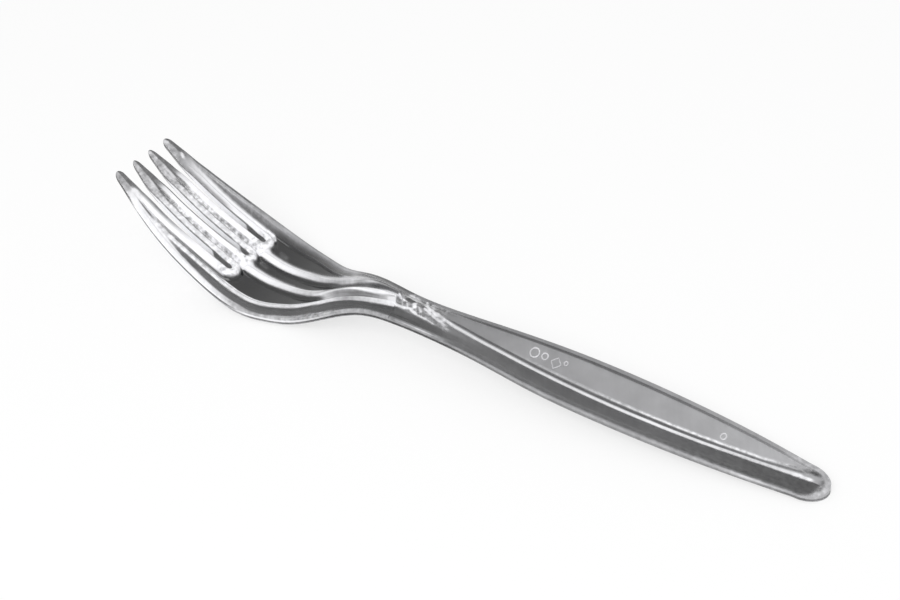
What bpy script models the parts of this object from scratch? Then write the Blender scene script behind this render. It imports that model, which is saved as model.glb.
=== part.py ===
"""A clear disposable fork, moulded in one piece, lying face up.

The tips are at -X and the end of the handle is at +X. Y runs across the fork, Z is up.
Every size is in metres. The fork is a shell between an upper and a lower surface, both
worked out over the fork's plan by formulas, so each size below can be changed alone.
"""
import bpy
import numpy as np
from mathutils.geometry import delaunay_2d_cdt

# Lengths along the fork, measured from the tips
LENGTH = 0.185          # tips to the end of the handle
HEAD_LENGTH = 0.081     # tips to the small step in the neck
SLOT_LENGTH = 0.0313    # tips to the closed ends of the slots
MIDDLE_TINE_SETBACK = 0.0001

# Widths across the fork
HEAD_WIDTH = 0.0281
TIP_SPAN = 0.0187       # across the four tips
NECK_WIDTH = 0.0100
HANDLE_WIDTH = 0.0147
END_WIDTH = 0.0086      # where the rounded end begins
END_ROUND = 0.0055      # length of the rounded end
SLOT_WIDTH = 0.0014
SLOT_SPACING = 0.0062
TIP_ROUND = 0.00115     # length of each tine's rounded tip

# Heights above the table, taken at the upper edge
TIP_RISE = 0.0277
BELLY_RISE = 0.0026
NECK_RISE = 0.0093

# The section
EDGE_DEPTH = 0.0019     # height of the outer side wall
PLATE = 0.0014          # thickness of the thin webs
EDGE_ROUND = 0.0003     # rounding of all outer corners
RIM_WIDTH = 0.0012
RIM_RISE = 0.0003       # rim above the recessed faces
BORDER_WIDTH = 0.0026   # raised U borders round the slots
BORDER_RISE = 0.0016    # at the slots' closed ends, less towards the tips
RIB_WIDTH = 0.0033      # the two rounded ribs through the bowl, across their feet
RIB_RISE = 0.0016
LINE_WIDTH = 0.0015     # the two thin lines outside the ribs
LINE_RISE = 0.0004
WEDGE_RISE = 0.0006     # roof shape of the front of each tine
NECK_CROWN = 0.0015     # neck's middle above its edges
VALLEY = 0.0034         # handle's crease below its edges
CREASE_WIDTH = 0.0016   # rounded bottom of the crease
GATE_RADIUS = 0.0013    # round moulding mark in the neck
GATE_RISE = 0.0003

MESH_STEP = 0.00125     # spacing of points along the outline


def curve(places, values):
    """A smooth curve through a few places, as a function: a natural cubic spline."""
    x = np.asarray(places, float)
    v = np.asarray(values, float)
    n = len(x)
    gap = np.diff(x)
    rise = np.diff(v) / gap
    a = np.eye(n)
    b = np.zeros(n)
    for i in range(1, n - 1):
        a[i, i - 1:i + 2] = gap[i - 1], 2 * (gap[i - 1] + gap[i]), gap[i]
        b[i] = 6 * (rise[i] - rise[i - 1])
    bend = np.linalg.solve(a, b)

    def at(q):
        q = np.clip(np.asarray(q, float), x[0], x[-1])
        i = np.clip(np.searchsorted(x, q) - 1, 0, n - 2)
        u = q - x[i]
        w = x[i + 1] - q
        g = gap[i]
        return ((bend[i] * w ** 3 + bend[i + 1] * u ** 3) / (6 * g)
                + (v[i] / g - bend[i] * g / 6) * w
                + (v[i + 1] / g - bend[i + 1] * g / 6) * u)
    return at


def ease(q):
    """Nought below 0, one above 1, smooth between."""
    q = np.clip(q, 0, 1)
    return q * q * (3 - 2 * q)


SLOT_CAP = SLOT_WIDTH * .6   # length of a slot's round end
HANDLE_LENGTH = LENGTH - HEAD_LENGTH
HALF_HEAD = HEAD_WIDTH / 2
HALF_NECK = NECK_WIDTH / 2
HALF_HANDLE = HANDLE_WIDTH / 2


def along(head_shares, handle_shares):
    """Places along the fork, as shares of the head and then of the handle."""
    head = [HEAD_LENGTH * q for q in head_shares]
    return head + [HEAD_LENGTH + HANDLE_LENGTH * q for q in handle_shares]


def between(low, high, shares):
    return [low + (high - low) * q for q in shares]


# Half width of the outline: a flared head, a slim neck, a handle widest past its middle
half_width = curve(
    along((0, .15, .32, .49, .64, .765, .89, 1), (.11, .22, .375, .55, .72, .855, .945)),
    [TIP_SPAN / 2] + between(HALF_NECK, HALF_HEAD, (.81, 1, 1, .735, .467, .135, 0))
    + between(HALF_NECK, HALF_HANDLE, (0, .3, .875, 1, .715, .195)) + [END_WIDTH / 2])

# Height of the upper edge: tines sweep up, belly low, neck humped, handle falling to its end
edge_height = curve(
    along((0, .15, .32, .49, .58, .64, .765, .89, 1), (.11, .22, .375, .55, .72, .855, 1)),
    [TIP_RISE * q for q in (1, .62, .31)] + [BELLY_RISE * q for q in (1.16, .96, 1.06)]
    + [NECK_RISE * q for q in (.65, .985, .985, .925, .87, .735, .595, .46, .35, .205)])

# Middle of the section above the edge: flat head, crowned neck, V-shaped handle
middle_rise = curve(
    along((0, .32, .5, .6, .68, .74, .81, .92, 1), (.07, .15, .22, .375, .55, .72, .855, .97, 1)),
    [-RIM_RISE] * 2 + [NECK_CROWN * q for q in (.05, .38, .62, .73, .87, .97, 1, .6)]
    + [VALLEY * q for q in (-.09, -.37, -.8, -1, -.76, -.35, -.04, 0)])

# Half width of the flat middle: it narrows through the neck and closes into the crease
shoulder = curve(
    along((0, .15, .25, .42, .47, .54, .605, .67, .74, .81, .89, .94, 1), (.07, .15, .25, 1)),
    [HALF_HEAD * q for q in (.57, .71, .72, .74, .74, .7, .6, .485, .365, .29, .23, .18)]
    + [HALF_NECK * q for q in (.32, .2, .12, .1, .1)])

# The two ribs run from the middle tines into the neck, closing towards each other
rib_side = curve(
    along((0, .4, .55, .69, .83, .96, 1), ()),
    [SLOT_SPACING * q for q in (.5, .5, .47, .455, .29, .145, .13)])


def rib_width(s):
    """Width of one rib, which grows slimmer in the neck."""
    return RIB_WIDTH * (1 - .45 * ease((s / HEAD_LENGTH - .6) / .35))


# Edges of the slots, which open slightly towards the tips
slot_flare = curve([SLOT_LENGTH * q for q in (0, .1, .155, .3, .6, 1)],
                   [2.6, 1.8, 1.38, 1.17, 1.03, .95])
outer_slot = curve([SLOT_LENGTH * q for q in (0, .1, .3, .6, 1)],
                   [SLOT_SPACING * q for q in (.85, .903, .96, .985, 1)])


def slot_edges(s, which):
    """The two sides of a slot (0 is the middle one) at a distance s from the tips."""
    half = slot_flare(s) * SLOT_WIDTH / 2
    centre = outer_slot(s) if which else 0 * s
    return centre - half, centre + half


def tine(start, inner, outer):
    """One tine from the outside edge's foot, round its tip and back: a rounded wedge."""
    root = SLOT_LENGTH - SLOT_CAP
    far = np.linspace(root, start + TIP_ROUND, int((root - start) / MESH_STEP))
    near = start + TIP_ROUND * (1 - np.sin(np.linspace(0, np.pi / 2, 6)))[1:]
    s = np.concatenate([far, near])
    low, high = inner(s), outer(s)
    middle = (low + high) / 2
    lean = np.where(s < start + TIP_ROUND,
                    np.sqrt(np.clip(1 - (1 - (s - start) / TIP_ROUND) ** 2, 0, 1)), 1)
    half = (high - low) / 2 * lean
    up = np.stack([s, middle + half], -1)
    back = np.stack([s, middle - half], -1)[:-1][::-1]
    return np.concatenate([up, back])


def slot_end(which):
    """The closed end of a slot, from its far side to its near side."""
    turn = np.linspace(0, np.pi, 9)[1:-1]
    low, high = slot_edges(np.array(SLOT_LENGTH - SLOT_CAP), which)
    return np.stack([SLOT_LENGTH - SLOT_CAP + SLOT_CAP * np.sin(turn),
                     (low + high) / 2 + (high - low) / 2 * np.cos(turn)], -1)


def outline():
    """The whole plan as one closed loop: handle end, tines and slots, turning one way."""
    sk = LENGTH - END_ROUND
    turn = np.linspace(0, np.pi / 2, 9)[:-1]
    end = np.stack([sk + END_ROUND * np.cos(turn), half_width(sk) * np.sin(turn)], -1)
    s = np.linspace(sk, SLOT_LENGTH - SLOT_CAP, int((sk - SLOT_LENGTH) / MESH_STEP))[:-1]
    side = np.stack([s, half_width(s)], -1)
    outer = tine(0.0, lambda q: slot_edges(q, 1)[1], half_width)
    inner = tine(MIDDLE_TINE_SETBACK, lambda q: slot_edges(q, 0)[1], lambda q: slot_edges(q, 1)[0])
    top = np.concatenate([end, side, outer, slot_end(1), inner])
    low = top[1:][::-1] * (1, -1)
    return np.concatenate([top, slot_end(0), low])


LOOP = outline()


def slot_line(which):
    """A slot's two sides and closed end, as one open line."""
    s = np.linspace(-SLOT_LENGTH * .1, SLOT_LENGTH - SLOT_CAP, 40)
    low, high = slot_edges(np.clip(s, 0, None), which)
    return np.concatenate([np.stack([s, high], -1), slot_end(which),
                           np.stack([s, low], -1)[::-1]])


def outer_line():
    """The outer edge of the fork, without its slots, as one open line."""
    sk = LENGTH - END_ROUND
    s = np.linspace(0, sk, 170)
    side = np.stack([s, half_width(s)], -1)
    turn = np.linspace(np.pi / 2, 0, 16)[1:]
    end = np.stack([sk + END_ROUND * np.cos(turn), half_width(sk) * np.sin(turn)], -1)
    half = np.concatenate([side, end])
    return np.concatenate([half, half[:-1][::-1] * (1, -1)])


def distance(points, line):
    """Shortest distance from each point to a line of straight pieces."""
    a, b = line[:-1], line[1:]
    d = b - a
    size = (d ** 2).sum(-1)
    out = np.full(len(points), 1e9)
    for i in range(len(a)):
        if size[i] < 1e-16:
            continue
        u = np.clip(((points - a[i]) @ d[i]) / size[i], 0, 1)
        out = np.minimum(out, np.linalg.norm(points - a[i] - u[:, None] * d[i], axis=1))
    return out


OUTER = outer_line()
SLOTS = [slot_line(0), slot_line(1), slot_line(1) * (1, -1)]


def plate(s, y):
    """The thin web's upper face: flat head, crowned neck, V handle with a rounded crease."""
    a = np.abs(y)
    edge = edge_height(s) - RIM_RISE
    middle = edge_height(s) + middle_rise(s)
    wide = np.maximum(half_width(s) - RIM_WIDTH, shoulder(s) + .3 * RIM_WIDTH)
    soft = CREASE_WIDTH * .25
    u = a - shoulder(s)
    ramp = (u + np.sqrt(u ** 2 + soft ** 2)) / 2
    full = wide - shoulder(s)
    return middle + (edge - middle) * np.clip(ramp / full, 0, 1.1)


def corner(d):
    """Fall of a rounded corner at a distance d inside an edge."""
    q = np.clip(d / EDGE_ROUND, 0, 1)
    return EDGE_ROUND * (1 - np.sqrt(np.clip(1 - (1 - q) ** 2, 0, 1)))


def upper(s, y, to_outer, to_slot):
    """Upper surface: the web, with rim, slot borders, ribs and thin lines raised on it."""
    front = ease((s - .12 * SLOT_LENGTH) / (.2 * SLOT_LENGTH))
    rim = RIM_RISE * (1 - ease((to_outer - RIM_WIDTH) / (.3 * RIM_WIDTH)))
    tall = BORDER_RISE * (.69 + .31 * ease((s / SLOT_LENGTH - .25) / .7))
    border = tall * front * (1 - ease((to_slot - .5 * BORDER_WIDTH) / (.5 * BORDER_WIDTH)))
    in_head = 1 - ease((s - .985 * HEAD_LENGTH) / (.01 * HEAD_LENGTH))
    past_slots = ease((s - SLOT_LENGTH) / (.08 * SLOT_LENGTH))
    off_rib = np.abs(np.abs(y) - rib_side(s)) / rib_width(s)
    rib = RIB_RISE * past_slots * in_head * (1 - ease((off_rib - .1) / .4))
    off_line = np.abs(np.abs(y) - shoulder(s))
    line = (LINE_RISE * in_head * ease((s - .5 * SLOT_LENGTH) / (.4 * SLOT_LENGTH))
            * (1 - ease((off_line - .1 * LINE_WIDTH) / (.4 * LINE_WIDTH))))
    nearest = np.minimum(to_outer, to_slot)
    wedge = (1 - front) * (RIM_RISE + WEDGE_RISE * np.clip(nearest / (.5 * BORDER_WIDTH), 0, 1.5))
    gate = GATE_RISE * (1 - ease(np.hypot(s - 1.045 * HEAD_LENGTH, y) / GATE_RADIUS))
    raised = np.maximum.reduce([rim * front, border, rib, line, wedge, gate])
    return plate(s, y) + raised - corner(nearest)


def lower(s, y, to_outer, to_slot):
    """Lower surface: follows the web, with the outer side wall reaching slightly lower."""
    slim = .55 + .45 * ease(s / (.4 * SLOT_LENGTH))
    inside = ease((to_outer - .6 * RIM_WIDTH) / RIM_WIDTH)
    web = plate(s, y) - PLATE * slim
    wall = edge_height(s) - EDGE_DEPTH * slim
    return wall * (1 - inside) + web * inside + corner(np.minimum(to_outer, to_slot))


def rows(line, gaps, step):
    """Points beside a line, at the given distances from it."""
    run = np.r_[0, np.cumsum(np.linalg.norm(np.diff(line, axis=0), axis=1))]
    at = np.linspace(0, run[-1], int(run[-1] / step))
    p = np.stack([np.interp(at, run, line[:, 0]), np.interp(at, run, line[:, 1])], -1)
    t = np.gradient(p, axis=0)
    t /= np.linalg.norm(t, axis=1)[:, None]
    side = np.stack([-t[:, 1], t[:, 0]], -1)
    return np.concatenate([p + side * g for g in gaps])


def thin_out(points, room):
    """Drop points that crowd earlier ones, in order."""
    cells = {}
    out = []
    for p in points:
        c = (int(p[0] // room), int(p[1] // room))
        near = (q for i in (-1, 0, 1) for j in (-1, 0, 1) for q in cells.get((c[0] + i, c[1] + j), ()))
        if all((p[0] - q[0]) ** 2 + (p[1] - q[1]) ** 2 >= room ** 2 for q in near):
            cells.setdefault(c, []).append(tuple(p))
            out.append(p)
    return np.array(out)


def inside(points):
    """True for points inside the plan."""
    x, y = points.T
    a, b = LOOP, np.roll(LOOP, -1, axis=0)
    hit = np.zeros(len(points), bool)
    for (x0, y0), (x1, y1) in zip(a, b):
        if y0 == y1:
            continue
        cross = (y0 > y) != (y1 > y)
        hit ^= cross & (x < x0 + (y - y0) * (x1 - x0) / (y1 - y0))
    return hit


def mirrored(points):
    return np.concatenate([points, points * (1, -1)])


def plan_points(fine):
    """Points inside the plan, lying along every edge, rib, line and crease."""
    both = np.concatenate([LOOP, LOOP[:1]])
    step = MESH_STEP * (1.2 if fine else 1.8)
    sets = [rows(both, (-EDGE_ROUND, EDGE_ROUND), step)]
    if fine:
        sets.insert(0, rows(both, (-EDGE_ROUND * .35, EDGE_ROUND * .35), step))
        sets.append(rows(OUTER, (-RIM_WIDTH, -1.35 * RIM_WIDTH), step * 1.3))
        for line in SLOTS:
            w = BORDER_WIDTH
            sets.append(rows(line, (.5 * w, -.5 * w, .75 * w, -.75 * w, w, -w), step))
        s = np.linspace(SLOT_LENGTH * 1.02, HEAD_LENGTH, int((HEAD_LENGTH - SLOT_LENGTH) / step))
        for d in (-.5, -.32, -.1, .1, .32, .5):
            sets.append(mirrored(np.stack([s, rib_side(s) + d * rib_width(s)], -1)))
        s = np.linspace(SLOT_LENGTH * .5, HEAD_LENGTH, int((HEAD_LENGTH - SLOT_LENGTH * .5) / step))
        for d in (-.5, 0, .5):
            sets.append(mirrored(np.stack([s, shoulder(s) + d * LINE_WIDTH], -1)))
        sets.append(np.array([(HEAD_LENGTH * 1.045 + GATE_RADIUS * r * np.cos(q), GATE_RADIUS * r * np.sin(q))
                              for r in (0, .5, 1) for q in np.linspace(0, 2 * np.pi, 9)[:-1]]))
    else:
        sets.append(rows(OUTER, (-1.1 * RIM_WIDTH, -1.7 * RIM_WIDTH), step))
    s = np.linspace(HEAD_LENGTH, LENGTH - 2 * RIM_WIDTH, int(HANDLE_LENGTH / step / 1.3))
    sets.append(np.stack([s, 0 * s], -1))
    for d in (0, .3, .8):
        sets.append(mirrored(np.stack([s, shoulder(s) + d * CREASE_WIDTH], -1)))
    gap = MESH_STEP * 2.6
    gx, gy = np.meshgrid(np.arange(gap, LENGTH, gap), np.arange(-6, 7) * gap * .8)
    sets.append(np.stack([gx.ravel(), gy.ravel()], -1))
    points = np.concatenate(sets)
    points = points[inside(points)]
    edge = distance(points, both)
    points = points[edge > EDGE_ROUND * .3]
    return thin_out(points, EDGE_ROUND * 1.3)


def skin(points, height):
    """Triangles over the plan, and the height of every corner. The outline comes first."""
    n = len(LOOP)
    flat = np.concatenate([LOOP, points]) * 1000
    ring = list(range(n))
    got = delaunay_2d_cdt([tuple(p) for p in flat], [], [ring], 1, 1e-5)
    xy = np.array([tuple(v) for v in got[0]]) / 1000
    home = {o: i for i, origin in enumerate(got[3]) for o in origin}
    order = [home[i] for i in range(n)]
    rest = [i for i in range(len(xy)) if i not in set(order)]
    place = {old: new for new, old in enumerate(order + rest)}
    xy = xy[order + rest]
    tris = [tuple(place[i] for i in f) for f in got[2]]
    to_outer = distance(xy, OUTER)
    to_slot = np.minimum.reduce([distance(xy, line) for line in SLOTS])
    on_edge = np.zeros(len(xy), bool)
    on_edge[:n] = True
    nearest = np.minimum(to_outer, to_slot)
    to_outer = np.where(on_edge & (to_outer <= nearest + 1e-9), 0, to_outer)
    to_slot = np.where(on_edge & (to_slot <= nearest + 1e-9), 0, to_slot)
    return xy, height(xy[:, 0], xy[:, 1], to_outer, to_slot), tris


def build():
    for old in list(bpy.data.objects):
        bpy.data.objects.remove(old, do_unlink=True)
    top_xy, top_z, top_tris = skin(plan_points(True), upper)
    low_xy, low_z, low_tris = skin(plan_points(False), lower)
    n, m = len(LOOP), len(top_xy)
    verts = np.concatenate([np.c_[top_xy, top_z], np.c_[low_xy, low_z]])
    verts[:, 0] -= LENGTH / 2
    verts[:, 2] -= verts[:, 2].min()
    faces = []
    for a, b, c in top_tris:
        area = np.cross(top_xy[b] - top_xy[a], top_xy[c] - top_xy[a])
        faces.append((a, b, c) if area > 0 else (a, c, b))
    for a, b, c in low_tris:
        area = np.cross(low_xy[b] - low_xy[a], low_xy[c] - low_xy[a])
        faces.append((m + a, m + c, m + b) if area > 0 else (m + a, m + b, m + c))
    around = sum(LOOP[i - 1][0] * LOOP[i][1] - LOOP[i][0] * LOOP[i - 1][1] for i in range(n))
    for i in range(n):
        j = (i + 1) % n
        wall = [(i, j, m + j), (i, m + j, m + i)]
        faces += [w[::-1] for w in wall] if around > 0 else wall
    mesh = bpy.data.meshes.new("fork")
    mesh.from_pydata(verts.tolist(), [], faces)
    mesh.update()
    fork = bpy.data.objects.new("fork", mesh)
    bpy.context.scene.collection.objects.link(fork)
    clear = bpy.data.materials.new("clear_polystyrene")
    clear.use_nodes = True
    skin_node = clear.node_tree.nodes["Principled BSDF"]
    skin_node.inputs["Base Color"].default_value = (.55, .56, .57, 1)
    skin_node.inputs["Roughness"].default_value = .08
    skin_node.inputs["IOR"].default_value = 1.59
    skin_node.inputs["Transmission Weight"].default_value = .8
    mesh.materials.append(clear)


build()
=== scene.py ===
"""The looks of a clear disposable fork, injection-moulded in one piece of crystal polystyrene.

The fork is one smooth shell, worked out over its plan: s runs along the fork from the tips,
y runs across it and Z is up. Sizes are in metres.
"""

import math

import bmesh
import bpy
import numpy as np
from mathutils import Matrix, Vector


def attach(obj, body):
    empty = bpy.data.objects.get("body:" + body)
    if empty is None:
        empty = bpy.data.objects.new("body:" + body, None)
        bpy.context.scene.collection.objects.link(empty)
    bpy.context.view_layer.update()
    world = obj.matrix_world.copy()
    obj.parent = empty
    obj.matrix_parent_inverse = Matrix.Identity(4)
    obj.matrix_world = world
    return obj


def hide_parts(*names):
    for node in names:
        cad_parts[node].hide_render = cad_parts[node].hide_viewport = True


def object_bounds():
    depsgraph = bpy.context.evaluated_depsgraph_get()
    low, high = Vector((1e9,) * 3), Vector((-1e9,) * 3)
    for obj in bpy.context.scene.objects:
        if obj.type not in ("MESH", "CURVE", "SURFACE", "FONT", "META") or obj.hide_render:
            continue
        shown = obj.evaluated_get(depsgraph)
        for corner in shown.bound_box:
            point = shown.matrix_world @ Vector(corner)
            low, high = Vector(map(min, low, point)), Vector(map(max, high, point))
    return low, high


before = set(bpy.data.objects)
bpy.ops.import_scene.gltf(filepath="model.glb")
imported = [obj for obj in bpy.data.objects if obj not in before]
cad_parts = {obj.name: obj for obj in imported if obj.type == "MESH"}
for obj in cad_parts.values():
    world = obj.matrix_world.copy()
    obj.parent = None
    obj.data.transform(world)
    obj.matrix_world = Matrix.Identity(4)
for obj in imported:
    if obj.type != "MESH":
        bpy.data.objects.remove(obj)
cad_low, cad_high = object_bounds()
cad_size = cad_high - cad_low

# Lengths along the fork, from the tips
LENGTH = cad_size.x
HEAD_LENGTH = 0.081       # tips to the small step in the neck
HANDLE_LENGTH = LENGTH - HEAD_LENGTH
STEP_START = .985 * HEAD_LENGTH
STEP_RUN = .01 * HEAD_LENGTH
SLOT_LENGTH = 0.0313      # tips to the closed ends of the slots
MIDDLE_TINE_SETBACK = 0.0001
TIP_ROUND = 0.00115       # each tine's rounded tip
END_ROUND = 0.0055        # the handle's rounded end
ROUND_START = LENGTH - END_ROUND

# Widths across the fork
HEAD_SWELL = 1.0235       # the curve through the head's widths swells past the named one by this
HEAD_WIDTH = cad_size.y / HEAD_SWELL
TIP_SPAN = 0.0187
NECK_WIDTH = 0.0100
HANDLE_WIDTH = 0.0147
END_WIDTH = 0.0086
HALF_HEAD = HEAD_WIDTH / 2
HALF_NECK = NECK_WIDTH / 2
HALF_HANDLE = HANDLE_WIDTH / 2
SLOT_WIDTH = 0.0014
SLOT_SPACING = 0.0062
SLOT_CAP = .6 * SLOT_WIDTH           # length of a slot's round end
SLOT_ROOT = SLOT_LENGTH - SLOT_CAP   # where that end begins

# Heights above the table, at the upper edge
TIP_DROP = 0.0003         # from the top of the part's box down to the tips' upper edge
TIP_RISE = cad_size.z - TIP_DROP
BELLY_RISE = 0.0026
NECK_RISE = 0.0093

# The section
EDGE_DEPTH = 0.0019       # outer side wall
PLATE = 0.0014            # thin webs
EDGE_ROUND = 0.0003       # rounding of all outer corners
RIM_WIDTH = 0.0012
RIM_RISE = 0.0003
BORDER_WIDTH = 0.0026     # raised U borders round the slots
BORDER_RISE = 0.0016      # at the slots' closed ends, less towards the tips
RIB_WIDTH = 0.0033
RIB_RISE = 0.0016
LINE_WIDTH = 0.0015
LINE_RISE = 0.0004
WEDGE_RISE = 0.0006
NECK_CROWN = 0.0015
VALLEY = 0.0034
CREASE_WIDTH = 0.0016
GATE_RADIUS = 0.0013
GATE_RISE = 0.0003

MM = 0.001
TINY = 1e-9               # keeps a division from meeting nought
WELD = 1e-6               # points nearer than this are one


def curve(places, values):
    """A natural cubic spline through a few places, as a function of place.

    Between two places it is a cubic whose bend runs evenly from one place's bend to the next
    one's. The bends are those that make the slopes meet at every place, and nought at the ends.
    """
    x = np.asarray(places, float)
    v = np.asarray(values, float)
    n = len(x)
    gap = np.diff(x)
    rise = np.diff(v) / gap
    a = np.eye(n)
    b = np.zeros(n)
    for i in range(1, n - 1):
        a[i, i - 1:i + 2] = gap[i - 1], 2 * (gap[i - 1] + gap[i]), gap[i]
        b[i] = 6 * (rise[i] - rise[i - 1])
    bend = np.linalg.solve(a, b)

    def at(q):
        q = np.clip(np.asarray(q, float), x[0], x[-1])
        i = np.clip(np.searchsorted(x, q) - 1, 0, n - 2)
        u = q - x[i]
        w = x[i + 1] - q
        g = gap[i]
        return ((bend[i] * w ** 3 + bend[i + 1] * u ** 3) / (6 * g)
                + (v[i] / g - bend[i] * g / 6) * w
                + (v[i + 1] / g - bend[i + 1] * g / 6) * u)
    return at


def ease(q):
    """3q^2 - 2q^3 between 0 and 1, nought below and one above."""
    q = np.clip(q, 0, 1)
    return q * q * (3 - 2 * q)


def bump(q, wide):
    """A smooth hill of height 1 at q = 0 that is gone at q = wide on either side."""
    return 1 - ease(np.abs(q) / wide)


def along(head_shares, handle_shares):
    """Places along the fork, as shares of the head and then of the handle."""
    head = [HEAD_LENGTH * q for q in head_shares]
    return head + [HEAD_LENGTH + HANDLE_LENGTH * q for q in handle_shares]


def between(low, high, shares):
    """Values on the way from low to high, at a few shares of the way."""
    return [low + (high - low) * q for q in shares]


half_width = curve(
    along((0, .15, .32, .49, .64, .765, .89, 1), (.11, .22, .375, .55, .72, .855, .945)),
    [TIP_SPAN / 2] + between(HALF_NECK, HALF_HEAD, (.81, 1, 1, .735, .467, .135, 0))
    + between(HALF_NECK, HALF_HANDLE, (0, .3, .875, 1, .715, .195)) + [END_WIDTH / 2])

edge_height = curve(
    along((0, .15, .32, .49, .58, .64, .765, .89, 1), (.11, .22, .375, .55, .72, .855, 1)),
    [TIP_RISE * q for q in (1, .62, .31)] + [BELLY_RISE * q for q in (1.16, .96, 1.06)]
    + [NECK_RISE * q for q in (.65, .985, .985, .925, .87, .735, .595, .46, .35, .205)])

middle_rise = curve(
    along((0, .32, .5, .6, .68, .74, .81, .92, 1), (.07, .15, .22, .375, .55, .72, .855, .97, 1)),
    [-RIM_RISE] * 2 + [NECK_CROWN * q for q in (.05, .38, .62, .73, .87, .97, 1, .6)]
    + [VALLEY * q for q in (-.09, -.37, -.8, -1, -.76, -.35, -.04, 0)])

shoulder = curve(
    along((0, .15, .25, .42, .47, .54, .605, .67, .74, .81, .89, .94, 1), (.07, .15, .25, 1)),
    [HALF_HEAD * q for q in (.57, .71, .72, .74, .74, .7, .6, .485, .365, .29, .23, .18)]
    + [HALF_NECK * q for q in (.32, .2, .12, .1, .1)])

rib_side = curve(
    along((0, .4, .55, .69, .83, .96, 1), ()),
    [SLOT_SPACING * q for q in (.5, .5, .47, .455, .29, .145, .13)])

slot_flare = curve([SLOT_LENGTH * q for q in (0, .1, .155, .3, .6, 1)],
                   [2.6, 1.8, 1.38, 1.17, 1.03, .95])
outer_slot = curve([SLOT_LENGTH * q for q in (0, .1, .3, .6, 1)],
                   [SLOT_SPACING * q for q in (.85, .903, .96, .985, 1)])


def rib_width(s):
    """Width of one rib: full up to .6 of the head, then easing to .55 of it over the next .35."""
    return RIB_WIDTH * (1 - .45 * ease((s / HEAD_LENGTH - .6) / .35))


def slot_centre(s, which):
    """Place across of the middle slot (0), which is nought, or of an outer one (1)."""
    return outer_slot(s) if which else 0 * s


def slot_half(s):
    """Half the width of a slot, closing as an ellipse over its round end."""
    closing = np.sqrt(np.clip(1 - ((s - SLOT_ROOT) / SLOT_CAP) ** 2, 0, 1))
    return slot_flare(np.minimum(s, SLOT_ROOT)) * SLOT_WIDTH / 2 * np.where(s > SLOT_ROOT, closing, 1)


def outer_half(s):
    """Half width of the whole outline, closing as an ellipse over the handle's end."""
    closing = np.sqrt(np.clip(1 - ((s - ROUND_START) / END_ROUND) ** 2, 0, 1))
    return half_width(np.minimum(s, ROUND_START)) * np.where(s > ROUND_START, closing, 1)


def from_ellipse(u, v, long, wide):
    """Signed distance from an ellipse, measured on the ray from its middle, negative inside."""
    q = np.hypot(u / long, v / wide)
    return (q - 1) * np.hypot(u, v) / np.maximum(q, TINY)


def distance_to_outer(s, y):
    """Distance inside the outer edge: across the fork, or from the ellipse at the handle's end."""
    side = half_width(s) - np.abs(y)
    end = -from_ellipse(s - ROUND_START, y, END_ROUND, half_width(ROUND_START))
    return np.clip(np.where(s > ROUND_START, end, side), 0, None)


def distance_to_slots(s, y):
    """Distance from the nearest slot's edge: across the fork, or from the ellipse at its end."""
    found = []
    for which in (0, 1):
        off = np.abs(y) - slot_centre(s, which)
        side = np.abs(off) - slot_half(s)
        end = from_ellipse(s - SLOT_ROOT, off, SLOT_CAP, slot_half(np.array(SLOT_ROOT)))
        found.append(np.where(s > SLOT_ROOT, end, side))
    return np.clip(np.minimum(*found), 0, None)


def plate(s, y):
    """The thin web's upper face: flat head, crowned neck, V handle with a rounded crease.

    Across the fork it keeps the middle's height up to the shoulder and then goes straight to
    the edge's height inside the rim. A root of squares rounds the turn at the shoulder.
    """
    edge = edge_height(s) - RIM_RISE
    middle = edge_height(s) + middle_rise(s)
    wide = np.maximum(half_width(s) - RIM_WIDTH, shoulder(s) + .3 * RIM_WIDTH)
    soft = CREASE_WIDTH * .25
    u = np.abs(y) - shoulder(s)
    ramp = (u + np.sqrt(u ** 2 + soft ** 2)) / 2
    full = wide - shoulder(s)
    return middle + (edge - middle) * np.clip(ramp / full, 0, 1.1)


def corner(d):
    """Fall of a quarter-round corner at a distance d inside an edge: radius less root of squares."""
    q = np.clip(d / EDGE_ROUND, 0, 1)
    return EDGE_ROUND * (1 - np.sqrt(np.clip(1 - (1 - q) ** 2, 0, 1)))


def before_step(s):
    """One in the head, easing to nought over the small step in the neck."""
    return 1 - ease((s - STEP_START) / STEP_RUN)


def features(s, y, to_outer, to_slot):
    """How strongly each raised feature is present at a point, from 0 to 1.

    Each is one on its own ground and eases to nought outside it: so far from the outer edge, from
    a slot, from the middle of a rib, from the shoulder or from the gate.
    """
    front = ease((s - .12 * SLOT_LENGTH) / (.2 * SLOT_LENGTH))
    in_head = before_step(s)
    past_slots = ease((s - SLOT_LENGTH) / (.08 * SLOT_LENGTH))
    off_rib = np.abs(np.abs(y) - rib_side(s)) / rib_width(s)
    off_line = np.abs(np.abs(y) - shoulder(s))
    return {
        "front": front,
        "rim": front * (1 - ease((to_outer - RIM_WIDTH) / (.3 * RIM_WIDTH))),
        "border": front * (1 - ease((to_slot - .5 * BORDER_WIDTH) / (.5 * BORDER_WIDTH))),
        "rib": past_slots * in_head * (1 - ease((off_rib - .1) / .4)),
        "line": in_head * ease((s - .5 * SLOT_LENGTH) / (.4 * SLOT_LENGTH))
        * (1 - ease((off_line - .1 * LINE_WIDTH) / (.4 * LINE_WIDTH))),
        "gate": 1 - ease(np.hypot(s - 1.045 * HEAD_LENGTH, y) / GATE_RADIUS),
    }


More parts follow.
